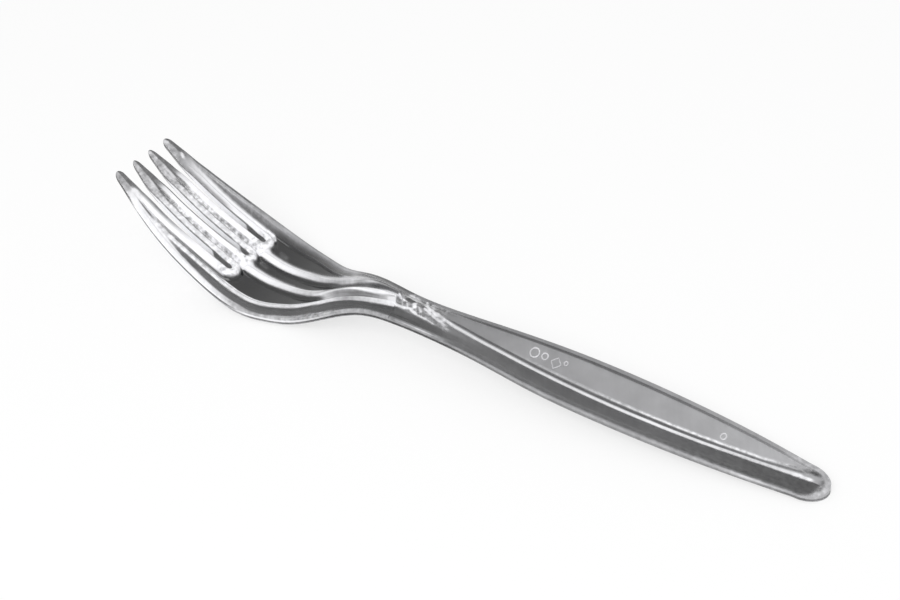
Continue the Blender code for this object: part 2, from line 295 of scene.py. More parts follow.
def upper(s, y, to_outer, to_slot, nearest):
    """Upper surface: the web plus the highest of the raised features, less the round corner.

    Towards the tips the features give way to a wedge that rises evenly from every edge, and the
    borders are full height at the slots' ends and .69 of it in front.
    """
    f = features(s, y, to_outer, to_slot)
    wedge = (1 - f["front"]) * (RIM_RISE + WEDGE_RISE * np.clip(nearest / (.5 * BORDER_WIDTH), 0, 1.5))
    tall = BORDER_RISE * (.69 + .31 * ease((s / SLOT_LENGTH - .25) / .7))
    raised = np.maximum.reduce([RIM_RISE * f["rim"], tall * f["border"], RIB_RISE * f["rib"],
                                LINE_RISE * f["line"], wedge, GATE_RISE * f["gate"]])
    return plate(s, y) + raised - corner(nearest)


def lower(s, y, to_outer, to_slot, nearest):
    """Lower surface: the web less its thickness, with the outer wall reaching slightly lower.

    It takes what the upper one takes. The tips have .55 of the thickness. The wall eases into the
    web from .6 to 1.6 rim widths inside the edge.
    """
    slim = .55 + .45 * ease(s / (.4 * SLOT_LENGTH))
    inside = ease((to_outer - .6 * RIM_WIDTH) / RIM_WIDTH)
    web = plate(s, y) - PLATE * slim
    wall = edge_height(s) - EDGE_DEPTH * slim
    return wall * (1 - inside) + web * inside + corner(nearest)


def round_steps(n):
    """Shares of a quarter round, from its end to its widest place: 1 - cos of even angles."""
    return 1 - np.cos(np.linspace(0, np.pi / 2, n))


# Spacing of the rows past a slot's end, which grows from the first to the last
FIRST_ROW = 0.00002
ROW_GROWTH = 1.35
LAST_ROW = 0.00018


def strip_rows(start):
    """Places along one strip, close together at round ends, slot ends and the step in the neck."""
    parts = [start + TIP_ROUND * round_steps(10),
             np.linspace(start + TIP_ROUND, SLOT_ROOT, 80)[1:],
             SLOT_ROOT + SLOT_CAP * np.sin(np.linspace(0, np.pi / 2, 12))[1:]]
    past = np.cumsum(np.minimum(FIRST_ROW * ROW_GROWTH ** np.arange(30), LAST_ROW))
    parts += [SLOT_LENGTH + past,
              np.linspace(SLOT_LENGTH + past[-1], HEAD_LENGTH * .97, 92)[1:],
              np.linspace(HEAD_LENGTH * .97, HEAD_LENGTH * 1.01, 22)[1:],
              np.linspace(HEAD_LENGTH * 1.01, HEAD_LENGTH * 1.12, 28)[1:],
              np.linspace(HEAD_LENGTH * 1.12, ROUND_START, 78)[1:],
              ROUND_START + END_ROUND * np.sin(np.linspace(0, np.pi / 2, 26))[1:]]
    return np.concatenate(parts)


# Places of the columns over a round corner, as shares of it, above and below
CORNER_STEPS = np.array([0, .03, .1, .2, .36, .56, .78, 1])
LOWER_STEPS = np.array([0, .1, .4, 1])
TONE, GRAIN, FROST = 3, slice(4, 7), 7   # columns of a point's looks, after its three places


def spread(low, high, steps, middle, seam_low, seam_high):
    """Columns between two edges, one row of places for each s.

    Near an edge they stand at the corner's steps, and between them evenly. Beside a seam, where
    there is no corner, they drift to even spacing.
    """
    width = (high - low)[:, None]
    reach = EDGE_ROUND * np.minimum(1, width / (3 * EDGE_ROUND))
    even = np.linspace(0, 1, 2 * len(steps) + middle)[None, :]
    first = reach * steps[None, :]
    last = width - reach * steps[None, ::-1]
    t = np.linspace(0, 1, middle + 2)[None, 1:-1]
    cornered = np.concatenate([first, first[:, -1:] + t * (last[:, :1] - first[:, -1:]), last], 1)
    near_high = even * ease(even)
    loose = seam_low[:, None] * (1 - near_high) + seam_high[:, None] * near_high
    return low[:, None] + cornered * (1 - loose) + even * width * loose


def strip(outer, side):
    """One closed strip from a tine's tip to the handle's end, as rings of points and faces.

    A ring runs over the top, down the outer side, back underneath and up the inner side. Past
    the slots the strips touch each other, and there they have no side walls between them.
    """
    start = 0 if outer else MIDDLE_TINE_SETBACK
    s = strip_rows(start)
    seam = outer_half(s) * outer_slot(SLOT_LENGTH) / half_width(SLOT_LENGTH)
    slotted = s <= SLOT_LENGTH + TINY
    if outer:
        low = np.where(slotted, slot_centre(s, 1) + slot_half(s), seam)
        high = outer_half(s)
    else:
        low = np.where(slotted, slot_half(s), 0)
        high = np.where(slotted, slot_centre(s, 1) - slot_half(s), seam)
    u = np.clip(1 - (s - start) / TIP_ROUND, 0, 1)
    lean = np.sqrt(1 - u ** 2)
    middle, half = (low + high) / 2, (high - low) / 2
    low, high = middle - half * lean, middle + half * lean
    loosening = ease((s - SLOT_LENGTH) / (.3 * SLOT_LENGTH))
    seams = (loosening, 0 * s if outer else loosening)
    count = 30 if outer else 22
    top = spread(low, high, CORNER_STEPS, count, *seams)
    base = spread(low, high, LOWER_STEPS, count // 3, *seams)

    def sheet(y, height):
        """Points over the columns y, with their height and their looks."""
        grid_s = np.repeat(s[:, None], y.shape[1], 1)
        tip = -from_ellipse(TIP_ROUND * u[:, None], y - middle[:, None], TIP_ROUND, half[:, None])
        y = y * side
        to_outer = distance_to_outer(grid_s, y)
        to_slot = distance_to_slots(grid_s, y)
        nearest = np.minimum(to_outer, to_slot)
        nearest = np.where(u[:, None] > 0, np.clip(tip, 0, nearest), nearest)
        look = look_of(grid_s, y, to_outer, to_slot)
        return np.stack([grid_s, y, height(grid_s, y, to_outer, to_slot, nearest), *look], -1)

    over = sheet(top, upper)
    under = sheet(base, lower)
    # Painted white under the tines, standing in for the pale floor seen through them from above
    white = stretch(s, 10, 22, 3, 5)[:, None]   # what is seen through the tines from above
    under[..., TONE] += (1 - under[..., TONE]) * white
    wall = np.linspace(0, 1, 5)[None, 1:-1, None]
    outside = over[:, -1:] * (1 - wall) + under[:, -1:] * wall
    inside = under[:, :1] * (1 - wall) + over[:, :1] * wall
    # The side walls take their painted light and shade from outer_wall_tone and slot_wall_tone
    if outer:
        inside[..., TONE] = slot_wall_tone(s[:, None], 25)
        outside[..., TONE] = outer_wall_tone(s[:, None], wall[..., 0])
    else:
        inside[..., TONE] = slot_wall_tone(s[:, None], 28)
        outside[..., TONE] = slot_wall_tone(s[:, None], 25)
    for face in (inside, outside):
        face[..., GRAIN] = WALL_SPECKLE, 0, 0
    ring = np.concatenate([over, outside, under[:, ::-1], inside], 1)
    rows, size = ring.shape[:2]
    i, j = np.meshgrid(np.arange(rows - 1), np.arange(size), indexing="ij")
    k = (j + 1) % size
    quads = np.stack([i * size + j, i * size + k, (i + 1) * size + k, (i + 1) * size + j], -1)
    n_top, n_wall, n_low = over.shape[1], wall.shape[1], under.shape[1]
    on_high = (j >= n_top - 1) & (j < n_top + n_wall)
    on_low = j >= n_top + n_wall + n_low - 1
    keep = slotted[i + 1] | ~(on_low | (on_high & (not outer)))
    quads = quads[keep]
    return ring.reshape(-1, ring.shape[2]), quads if side < 0 else quads[:, ::-1]


def linear(colour):
    """An sRGB hex colour as linear red, green, blue and alpha, by the sRGB curve."""
    parts = [int(colour[i:i + 2], 16) / 255 for i in (1, 3, 5)]
    return tuple(c / 12.92 if c <= .04045 else ((c + .055) / 1.055) ** 2.4 for c in parts) + (1,)


def add(material, kind, settings=None, **links):
    """Adds a node, with its settings, socket values and links."""
    tree = material.node_tree
    node = tree.nodes.new(kind)
    for name, value in (settings or {}).items():
        setattr(node, name, value)
    for name, value in links.items():
        key = int(name[1:]) if name[0] == "_" else name.replace("_", " ")
        socket = node.inputs[key]
        if isinstance(value, bpy.types.NodeSocket):
            tree.links.new(value, socket)
        else:
            socket.default_value = value
    return node


def band(q, low, high, soft_low, soft_high):
    """One between low and high, easing to nought outside them, all in the unit of q."""
    return ease((q - low) / soft_low + 1) * (1 - ease((q - high) / soft_high))


# The masks below take q in metres, and their places and widths in millimetres.

def stretch(q, low, high, soft_low, soft_high):
    """The same band: one between low and high, easing to nought outside them."""
    return band(q, low * MM, high * MM, soft_low * MM, soft_high * MM)


def after(q, place, run):
    """Nought up to a place, easing to one over the run that follows."""
    return ease((q - place * MM) / (run * MM))


def until(q, place, run):
    """One up to a place, easing to nought over the run that follows."""
    return 1 - after(q, place, run)


def beyond(q, edge, soft):
    """Nought before an edge and one past it, easing over a soft stretch with the edge mid-way."""
    return ease((q - edge * MM) / (soft * MM) + .5)


def within(q, edge, soft):
    """One before an edge and nought past it: the opposite of beyond."""
    return 1 - beyond(q, edge, soft)


def hill(q, place, wide):
    """A smooth hill of height 1 at a place, gone at its width on either side."""
    return bump(q - place * MM, wide * MM)


def course(s, places, values):
    """A value that runs along the fork in straight stretches between a few places in millimetres."""
    return np.interp(s / MM, places, values)


# The looks of the thin webs, which all else is laid over: a dark smoky tint that stands in for
# a dark ground seen through the clear plastic; and the speckle of the side walls
WEB_TONE = .12
WEB_SPECKLE = .04
WEB_STREAK = .03
WALL_SPECKLE = .15


class Look:
    """How the moulding looks at each point: brightness from black (0) to white (1), which is a
    smoky tint with painted light and shade laid over it, strength of speckle, of slanting streaks
    and of the neck's fan of streaks, and how frosted it is."""

    def __init__(self, shape):
        self.tone = np.full(shape, WEB_TONE)
        self.speckle = np.full(shape, WEB_SPECKLE)
        self.streak = np.full(shape, WEB_STREAK)
        self.fan = np.zeros(shape)
        self.frost = np.zeros(shape)

    def lay(self, mask, **values):
        """Lays new values over the old ones as far as the mask reaches."""
        for name, value in values.items():
            old = getattr(self, name)
            setattr(self, name, old + (value - old) * mask)


def lay_skirts(look, s, y, to_outer, in_head):
    """The sloping sides of the head, in painted light and shade: pale beyond the bowl, dark on this
    side of it.
    """
    side = shoulder(s)
    across = (np.abs(y) - side) / np.maximum(half_width(s) - side, MM)

    # The far side, painted pale beside the tines, along the bowl and in the neck, and its edges in
    # painted darker shade
    tines = np.interp(across, (0, .26, .74, .95), (.50, .48, .69, .56))
    tines = tines + course(s, (0, 10, 17, 26), (.06, .10, .07, 0))
    bowl = np.interp(across, (0, .3, .55, .8, .92, 1), (.10, .19, .47, .67, .59, .56))
    bowl = bowl + course(s, (32, 38, 42, 50, 56), (.08, .02, 0, .03, .08))
    neck = np.interp(across, (0, .5, .7, .85, 1), (.60, .55, .46, .46, .52))
    early, late = until(s, 27, 6), after(s, 57, 6)
    look.lay(beyond(y - side, 0, .6) * in_head,
             tone=(bowl * (1 - early) + tines * early) * (1 - late) + neck * late,
             speckle=.12, streak=.15, frost=course(s, (24, 30, 58, 66), (.2, .8, .8, .2)))
    look.lay((y > 0) * within(to_outer, .15, .25) * stretch(s, 60, 92, 4, 4), tone=.30)
    look.lay((y > 0) * hill(to_outer, .45, .45) * stretch(s, 7, 19, 3, 6), tone=.46)

    # The near side, darker with painted shade along the bowl, with a painted brighter rim and a painted
    # highlight along its edge
    near = beyond(-y - side, 0, .6) * in_head
    look.lay(near, speckle=course(s, (20, 32), (.4, .06)),
             tone=course(s, (10, 16, 20, 30, 48, 60, 80), (.62, .68, .50, .40, .37, .30, .31)))
    reach = course(s, (0, 12, 20, 30, 38, 42, 46, 50, 58, 66, 80),
                   (3, 2.6, 1.8, 1.6, 1.4, .8, .7, 1.2, 1.9, 1.0, .6))
    look.lay(near * within(to_outer, reach, .6), streak=.12,
             tone=course(s, (0, 30, 36, 43, 46, 50, 56, 60, 66, 80),
                         (.98, .97, .80, .62, .66, .74, .64, .64, .58, .60)),
             speckle=course(s, (30, 46, 60, 70), (.08, .3, .4, .3)))
    look.lay(near * within(to_outer, .5, .3),
             tone=course(s, (28, 36, 42, 50, 56, 80), (.98, .86, .68, .76, .70, .68)))


# Thin lines of painted light and shade in the neck's fan: place across and half width, both as
# shares of the shoulder's place, brightness, first and last place along in mm, and the share that
# is left past the last
FAN_LINES = ((.24, .085, .36, 54, 66, .35), (-.54, .055, .98, 63, 76, 1), (.33, .09, .86, 66, 71, .2),
             (.66, .12, .98, 62, 71, .25), (.87, .07, .46, 66, 72, .6), (.13, .07, .99, 72, 80, 1),
             (0, .07, .80, 74, 80, 1), (-.60, .07, .72, 73, 80, 1))


def lay_ribs(look, s, y, in_head):
    """Painted light on the two ribs through the bowl, painted light and shade in the neck's fan that
    they run into, and a painted highlight along the light line.
    """
    side = shoulder(s)
    lane = y / side
    look.lay(stretch(s, 61, 65, 5, 6) * band(lane, .3, 1.35, .2, .35) * in_head, tone=.79, streak=.1)
    past_slots = after(s - .94 * SLOT_LENGTH, 0, 1.2) * in_head
    for sign, reach, levels in (
            (1, course(s, (36, 55), (1.75, 2.4)), (1, .97, .84, .77, .79, .64, .58)),
            (-1, course(s, (42, 50), (1.7, 1.4)), (1, .95, .86, .85, .86, .86, .87))):
        look.lay(stretch(y - sign * rib_side(s), -.75, reach, .45, 1.5) * past_slots,
                 tone=course(s, (33, 40, 50, 58, 66, 72, 80), levels),
                 speckle=course(s, (31, 34), (.3, .1)),
                 fan=course(s, (40, 56, 66, 80), (.08, .35, .55, .5)))

    # The neck's fan: bands of painted light, grey and dark between the shoulders, then its thin lines
    begun = after(s, 62, 5) * in_head
    look.lay(after(s, 56, 4) * in_head * band(lane, -1.1, -.55, .08, .1), tone=.77, fan=.5)
    look.lay(begun * band(lane, -1.1, .12, .08, .12), fan=.25,
             tone=course(s, (62, 66, 70, 73, 76, 80), (.77, .78, .79, .88, .95, .88)))
    look.lay(begun * band(lane, .16, 1.1, .1, .2), fan=.5,
             tone=course(s, (64, 70, 75, 80), (.80, .62, .52, .50)))
    look.lay(after(s, 59, 5) * until(s, 77, 2.5) * in_head * band(lane, -.95, -.62, .08, .06),
             tone=course(s, (64, 69, 72, 75, 78), (.64, .53, .54, .66, .80)), fan=.3)
    # Painted light that lifts the shade in the valley behind the near rib
    look.lay(hill(y, -.9, .85) * stretch(s, 59, 65, 4, 4), tone=.93, fan=.2)
    off = lane - course(s, (60, 66, 72, 78), (-.46, -.45, -.34, -.27))
    look.lay(bump(off, course(s, (60, 66, 70), (.06, .08, .12))) * after(s, 57, 3) * in_head, fan=.2,
             tone=course(s, (60, 66, 70, 73, 76, 79), (.50, .50, .35, .48, .82, .90)))
    for at, wide, level, first, last, left in FAN_LINES:
        there = after(s, first, 5) * (1 - (1 - left) * after(s, last, 4)) * until(s, 79.4, .6) * in_head
        look.lay(bump(lane - at, wide * course(s, (54, 80), (1.25, 1))) * there, tone=level, fan=.3)

    # The light line along the near shoulder: a painted highlight on the raised line there
    shift = course(s, (58, 66), (0, .36))
    thick = course(s, (8, 20, 36, 56, 64, 80), (.75, .8, .85, 1.0, .42, .38))
    inner = course(s, (60, 68, 73, 77), (1.1, .6, .55, .9)) * thick
    line = stretch(-y - side, shift - inner, shift + .42 * thick, .25, .3)
    look.lay(line * in_head * after(s, 7, 6), fan=.1, speckle=course(s, (30, 42), (.55, .15)),
             tone=course(s, (10, 20, 35, 50, 60, 63, 66, 70, 74, 80),
                         (.92, .90, .93, .83, .89, .85, .70, .76, .82, .90)))


def lay_tines(look, s, y, to_outer, to_slot):
    """The four tines, in painted light and shade: white legs beside the slots, mottled middles and
    faceted fronts in painted shade, lighter on the near facets.
    """
    tine = until(s - .97 * SLOT_LENGTH, 0, 1.2)
    inner = np.abs(y) < slot_centre(s, 1)
    low, high = slot_half(s), slot_centre(s, 1) - slot_half(s)
    middle = np.where(inner, low + high, slot_centre(s, 1) + slot_half(s) + half_width(s)) / 2
    off = y - np.sign(y) * middle
    share = off / ((high - low) / 2)

    # The inner tines, white with painted light, with a mottled band along the middle
    look.lay(inner * tine, tone=course(s, (7, 11), (.84, .99)), speckle=.1)
    look.lay(inner * tine * band(share, -.95, -.36, .3, .1), speckle=.5,
             tone=course(s, (8, 12, 30), (.74, .91, .91)))
    places = (8, 12, 16, 20, 24, 28, 31)
    mottled = np.where(y > 0, course(s, places, (.70, .73, .84, .74, .72, .85, .96)),
                       course(s, places, (.60, .73, .76, .79, .86, .88, .96)))
    look.lay(inner * tine * band(share, -.34, .20, .1, .12) * after(s, 6, 4), tone=mottled, speckle=.95)
    look.lay(inner * bump(share - .26, .12) * stretch(s, 9, 28, 3, 3), tone=.78)

    # The outer tines, with a leg along the slot that is white with painted light and greyer near the
    # tip
    outer = ~inner * tine
    far_leg = (y > 0) * outer * within(to_slot, 3.4, 1.1)
    look.lay(far_leg, tone=course(s, (4.5, 8, 12), (.62, .86, 1)), speckle=.05)
    look.lay(far_leg * until(to_slot, 0, 1.7) * until(s, 17, 5), tone=.66)
    near_leg = (y < 0) * outer * within(to_slot, 2.15, .35)
    look.lay(near_leg, tone=.985, speckle=.05)
    look.lay(near_leg * until(to_slot, .2, 1.4) * until(s, 10, 13), tone=.60, speckle=.1)
    look.lay((y < 0) * outer * hill(to_slot, 2.35, .45),
             tone=course(s, (6, 9, 12, 18, 31), (.95, .84, .62, .44, .36)))

    # The borders round the slots' closed ends, white with painted light, wider on the far side of the
    # far slot
    ends = band(s, SLOT_LENGTH - 2 * MM, 2 * SLOT_LENGTH, MM, MM)
    out, ahead = y - slot_centre(s, 1), np.maximum(s - SLOT_LENGTH + SLOT_CAP, 0)
    sideways = np.clip(out / np.maximum(np.hypot(out, ahead), TINY), 0, 1) ** 6
    look.lay(ends * within(to_slot, 1.9 + 1.4 * sideways, .5), tone=.91, speckle=.9)
    look.lay(ends * hill(to_slot, 1.3, .8), tone=.985)

    # The faceted fronts, far facets in painted shade and near ones in painted light, and dark lines of
    # painted shade along the edges of the tips and slots
    near_face = within(off, 0, .4)
    look.lay(inner * bump(share - .15 - .05 * np.sign(y), .24) * stretch(s, 6, 9, 2, 3),
             tone=.42, speckle=.5)
    front = until(s, 3.2 + 1.6 * (1 - near_face) * inner, 3.2)
    look.lay(front, tone=.42 + .28 * near_face, speckle=.45)
    look.lay(front * near_face * until(s, 0, 3), tone=.76)
    look.lay(until(s, 4, 4) * until(np.minimum(to_outer, to_slot), 0, .35), tone=.30)
    fading = tine * until(s, 24, 6)
    look.lay(fading * until(to_slot, 0, .24), tone=.55)
    look.lay(fading * inner * (y < 0) * (share > 0) * stretch(to_slot, 0, .22, .1, .2), tone=.40)


def lay_handle(look, s, y, to_outer, in_handle):
    """The handle, in painted light and shade: a far flank painted pale as a sheen of light, a near one
    painted darker, and a crease painted bright between painted dark lines.
    """
    near = in_handle * (y < 0)
    far = in_handle * (y >= 0)
    look.lay(near, frost=1,
             tone=course(s, (82, 92, 96, 130, 150, 158, 172), (.29, .34, .43, .44, .44, .41, .33)),
             speckle=course(s, (100, 140, 160), (.08, .12, .32)),
             streak=course(s, (100, 120, 150), (.08, .12, .10)))
    look.lay(near * stretch(y, -1.9, 0, .7, 1) * until(s, 94, 14), tone=.54)
    look.lay(far, tone=course(s, (82, 100, 115, 145, 172), (.57, .60, .63, .66, .71)),
             speckle=.03, streak=.04, frost=1)

    # The rims, with painted highlights and painted dark lines along them
    look.lay(far * within(to_outer - RIM_WIDTH, 0, .3), tone=course(s, (82, 110, 160), (.58, .59, .66)))
    look.lay(far * hill(to_outer, 1.22, .38) * after(s, 88, 12),
             tone=course(s, (96, 115, 145, 172), (.40, .38, .45, .56)), frost=0)
    look.lay(far * within(to_outer, .12, .25) * after(s, 96, 14), tone=.93)
    look.lay(near * within(to_outer, .03, .1), tone=.62)
    look.lay(near * within(to_outer, .7, .3) * until(s, 94, 6), tone=.59, speckle=.3)
    look.lay(near * hill(to_outer, .12, .2) * stretch(s, 86, 91, 6, 5), tone=.82)

    # The crease, painted bright, with a line beyond it of painted glint that grows towards the end and
    # a painted dark line between them
    run = after(s, 91, 4) * until(s, 180, 2)
    off = y - MM * course(s, (92, 102, 115, 130, 145, 158, 172, 180),
                          (.2, -.2, -.35, -.25, -.15, -.25, -.05, .3))
    glint = course(s, (130, 145), (.5, 1))
    rise = course(s, (130, 145, 158, 170, 178, 182), (1.45, 1.28, 1.32, 1.2, 1.9, 3.2))
    look.lay(run * hill(off, rise, .5) * (.35 + .65 * glint) * after(s, 104, 20),
             tone=.70 + .2 * glint - course(s, (170, 179), (0, .28)), speckle=.1 + .5 * glint, frost=0)
    shade_line_at = course(s, (115, 158, 170, 178, 181), (.9, .74, .58, 1.05, 2.2))
    look.lay(run * hill(off, shade_line_at, .5), tone=course(s, (150, 172), (.38, .50)), speckle=.2, frost=0)
    look.lay(run * stretch(off, -.22, .18, .62, .38), frost=0,
             tone=course(s, (92, 97, 104, 130, 145, 158, 170, 178),
                         (.80, .86, .87, .91, .97, .91, .85, .87)))


# Painted glints as short strokes, a few of them darker: both ends as places along and across
# in mm, half width and brightness
GLINTS = (
    ((80.4, 3.5), (82.6, 2.4), .9, .84), ((82.0, 3.7), (84.6, 1.6), .5, .77),
    ((79.6, .2), (81.7, .3), .3, .94), ((80.8, 2.2), (83.3, 2.0), .7, .76),
    ((84.9, 3.5), (86.0, 2.2), .4, .84), ((86.5, 3.3), (87.9, 2.1), .35, .74),
    ((81.5, .95), (83.3, .75), .65, .30), ((80.2, 1.7), (80.3, .4), .16, .72),
    ((80.5, .2), (81.6, -1.3), .18, .76), ((80.3, -1.2), (81.5, .1), .16, .70),
    ((80.0, -1.9), (82.4, -1.6), .34, .86), ((82.2, -.3), (83.2, -1.4), .25, .80),
    ((83.8, .4), (84.4, -.4), .62, .98), ((82.8, -1.5), (84.4, -1.0), .3, .86),
    ((84.0, -1.35), (85.6, -1.7), .34, .88), ((85.3, .1), (86.4, -.7), .3, .80),
    ((84.4, 1.5), (86.6, .7), .42, .44), ((86.3, 1.8), (88.0, .8), .5, .92),
    ((86.6, .6), (88.8, -.1), .4, .88), ((88.0, 1.3), (90.0, .3), .55, .90),
    ((89.6, 1.1), (92.0, .2), .5, .84), ((89.0, -.1), (91.6, -.9), .4, .82),
    ((91.0, -.2), (93.2, -1.1), .42, .84), ((92.6, -.9), (95.0, -2.1), .26, .76),
    ((91.0, -1.1), (94.4, -2.4), .28, .60), ((86.2, -1.8), (88.4, -1.75), .24, .84),
    ((88.2, -1.7), (90.6, -2.0), .2, .78), ((87.2, -.9), (90.4, -1.1), .3, .56),
    ((88.8, 2.5), (91.4, 1.2), .3, .50), ((92.0, .5), (94.6, .1), .42, .86),
    ((4.7, 8.9), (5.2, 8.5), .45, .95), ((5.2, -8.3), (7.0, -8.5), .7, .98),
    ((35.4, 6.9), (37.0, 6.6), .8, .36), ((33.4, 1.2), (35.6, .9), .6, .38))
STROKE_CORE = .35         # share of a stroke's half width that has its full brightness


def lay_glints(look, s, y):
    """Painted sparkle of light on the patch behind the step in the neck, where the section changes,
    and a few painted glints at the tips and in the bowl."""
    look.lay(stretch(s, 80.4, 88, .4, 5) * stretch(y, -1.8, 3.7, .4, .3),
             tone=.60, streak=.5, speckle=.6, frost=0)
    for (s0, y0), (s1, y1), wide, level in GLINTS:
        u, w = s / MM - s0, y / MM - y0
        long = math.hypot(s1 - s0, y1 - y0)
        ahead = (u * (s1 - s0) + w * (y1 - y0)) / long
        past_ends = np.maximum(np.maximum(-ahead, ahead - long), 0)
        beside = (w * (s1 - s0) - u * (y1 - y0)) / long
        stroke = 1 - ease(np.hypot(past_ends, beside) / wide - STROKE_CORE)
        look.lay(stroke, tone=level, frost=0, speckle=.25, streak=.2)


def lay_end(look, s, y, to_outer):
    """A ring of painted light round the handle's end, with painted glints where the crease runs out."""
    back = LENGTH - s
    far = beyond(y, 0, 1)
    look.lay(until(back, 1.5, 1.4), tone=.60, speckle=.6, frost=0)
    look.lay(hill(back, 4, 2) * hill(y, 2.4, .9), tone=.30)
    look.lay(until(back, 1.2 + 8 * far, 3) * within(to_outer, .7 + .6 * far, .7),
             tone=.74, speckle=.3, frost=0)
    for place, long in ((6.9, 1.5), (4.4, 1.3)):
        look.lay(hill(back, place, long) * hill(y, .4, .65), tone=1.0, speckle=.6)


def look_of(s, y, to_outer, to_slot):
    """The looks over a grid of places, as columns: tint with painted light and shade, speckle, streak,
    fan, frost.
    """
    look = Look(s.shape)
    in_head = before_step(s)
    lay_skirts(look, s, y, to_outer, in_head)
    lay_ribs(look, s, y, in_head)
    lay_tines(look, s, y, to_outer, to_slot)
    lay_handle(look, s, y, to_outer, 1 - in_head)
    lay_glints(look, s, y)
    lay_end(look, s, y, to_outer)
    return look.tone, look.speckle, look.streak, look.fan, look.frost


def outer_wall_tone(s, down):
    """Painted light and shade of the outer side wall, from its upper edge (down = 0) to its lower
    one (1): light above, painted shade towards the foot, and a painted dark line near the tines.
    """
    level = course(s, (0, 5, 9, 36, 54, 60, 66, 82, 102, 158, 166, 170, 178, 184),
                   (.45, .6, .95, .95, .93, .84, .76, .70, .68, .70, .76, .83, .72, .72))
    foot_shade = course(s, (6, 11, 32, 44, 58, 66, 96, 101, 112, 158, 170, 178, 184),
                  (.36, .88, .80, .34, .30, .06, .06, .42, .5, .6, .66, .42, .40))
    foot_begins = course(s, (60, 66, 100, 112), (.5, .38, .38, .5))
    level = level - (level - foot_shade) * ease((down - foot_begins) / .35)
    line = band(down, .2, .38, .2, .25) * stretch(s, 10, 32, 3, 10)
    return level + (.18 - level) * line


def slot_wall_tone(s, shade_from):
    """Painted light of a slot's wall, which is in painted shade past a place in millimetres."""
    level = course(s, (0, 4, 8), (.5, .6, 1))
    return level + (.36 - level) * beyond(s, shade_from, .8)


# The small plain marks on the far flank: width of line, height, looks (tone, speckle, streak,
# fan and frost), and for each one its place along and across and its radius in mm, and its corners
MARK_LINE = 0.0004
MARK_RISE = 0.00008
MARK_LOOKS = (.80, .2, 0, 0, .5)
MARKS = ((114.4, 3.2, 1.05, 32), (116.9, 3.4, .7, 32), (119.9, 3.1, 1.25, 4), (122.0, 3.9, .42, 24),
         (160.7, 2.6, .62, 32))


def raised_outline(s, y, radius, corners):
    """A small raised outline on the handle's far flank: a ring, or a square with four corners.

    It is a thin closed frame whose section has four corners, two sunk into the flank and two
    standing MARK_RISE above it.
    """
    turn = np.linspace(0, 2 * np.pi, corners, endpoint=False)[:, None]
    out = radius + MARK_LINE * np.array([[.5, .3, -.3, -.5]])
    place_s, place_y = s + out * np.cos(turn), y + out * np.sin(turn)
    to_outer = distance_to_outer(place_s, place_y)
    sunk = np.array([[1, 0, 0, 1]])
    to_slot = to_outer + 1   # no slot is near
    z = upper(place_s, place_y, to_outer, to_slot, to_outer) + MARK_RISE * (1 - 2 * sunk)
    look = np.broadcast_to(MARK_LOOKS, z.shape + (5,))
    i, j = np.meshgrid(np.arange(corners), np.arange(4), indexing="ij")
    i_next, j_next = (i + 1) % corners, (j + 1) % 4
    quads = np.stack([i * 4 + j, i * 4 + j_next, i_next * 4 + j_next, i_next * 4 + j], -1)
    points = np.concatenate([np.stack([place_s, place_y, z], -1), look], -1)
    return points.reshape(-1, points.shape[2]), quads.reshape(-1, 4)


def fork_surface():
    """Both halves of the fork welded into one closed mesh, with its looks as attributes.

    The plan attribute is the place along, the place across, and the place across as a share of
    the shoulder's, which runs the fan's streaks along the neck.
    """
    parts = [raised_outline(s * MM, y * MM, radius * MM, corners) for s, y, radius, corners in MARKS]
    parts += [strip(outer, side) for outer in (False, True) for side in (1, -1)]
    points, faces, before = [], [], 0
    for part_points, part_faces in parts:
        points.append(part_points)
        faces.append(part_faces + before)
        before += len(part_points)
    points = np.concatenate(points)
    faces = np.concatenate(faces)
    points[:, 2] -= points[np.unique(faces), 2].min()
    points[:, 0] -= LENGTH / 2
    mesh = bpy.data.meshes.new("fork_surface")
    mesh.from_pydata(points[:, :3].tolist(), [], faces.tolist())
    mesh.attributes.new("tone", "FLOAT", "POINT").data.foreach_set("value", points[:, TONE])
    mesh.attributes.new("frost", "FLOAT", "POINT").data.foreach_set("value", points[:, FROST])
    place = points[:, :3].copy()
    place[:, 2] = points[:, 1] / shoulder(points[:, 0] + LENGTH / 2)
    for name, vectors in (("grain", points[:, GRAIN]), ("plan", place)):
        mesh.attributes.new(name, "FLOAT_VECTOR", "POINT").data.foreach_set("vector", vectors.ravel())
    bm = bmesh.new()
    bm.from_mesh(mesh)
    bmesh.ops.remove_doubles(bm, verts=bm.verts, dist=WELD)
    bmesh.ops.delete(bm, geom=[v for v in bm.verts if not v.link_faces], context="VERTS")
    bmesh.ops.recalc_face_normals(bm, faces=bm.faces)
    bm.to_mesh(mesh)
    bm.free()
    mesh.shade_smooth()
    return mesh


SPECK = 0.0011            # size of the frosted speckle
BLOTCH = 0.0045           # size of the faint clouds, and their strength
CLOUD = .09
STREAK_LENGTH = 0.006     # size and slant of the streaks, seen in plan
STREAK_WIDTH = 0.0008
STREAK_SLANT = math.radians(-56)
FAN_LENGTH = 0.016        # length of the fan's streaks, and width as a share of the shoulder's place
FAN_SHARE = .11
UNCHANGING = 1e4          # a size so large that a pattern doesn't change along it
NOISE_DETAIL = 2.0
EYE_POWER = 2.2           # turns brightness, as the eye takes it, into a share of light
DARK, BRIGHT = .35, .85   # brightnesses between which the plastic goes from clear to white
CLEAR, WHITE = .8, .02    # shares of light that it lets through at those
POLISHED, FROSTED = .07, .42      # roughness
REFRACTION = 1.59         # index of refraction of polystyrene


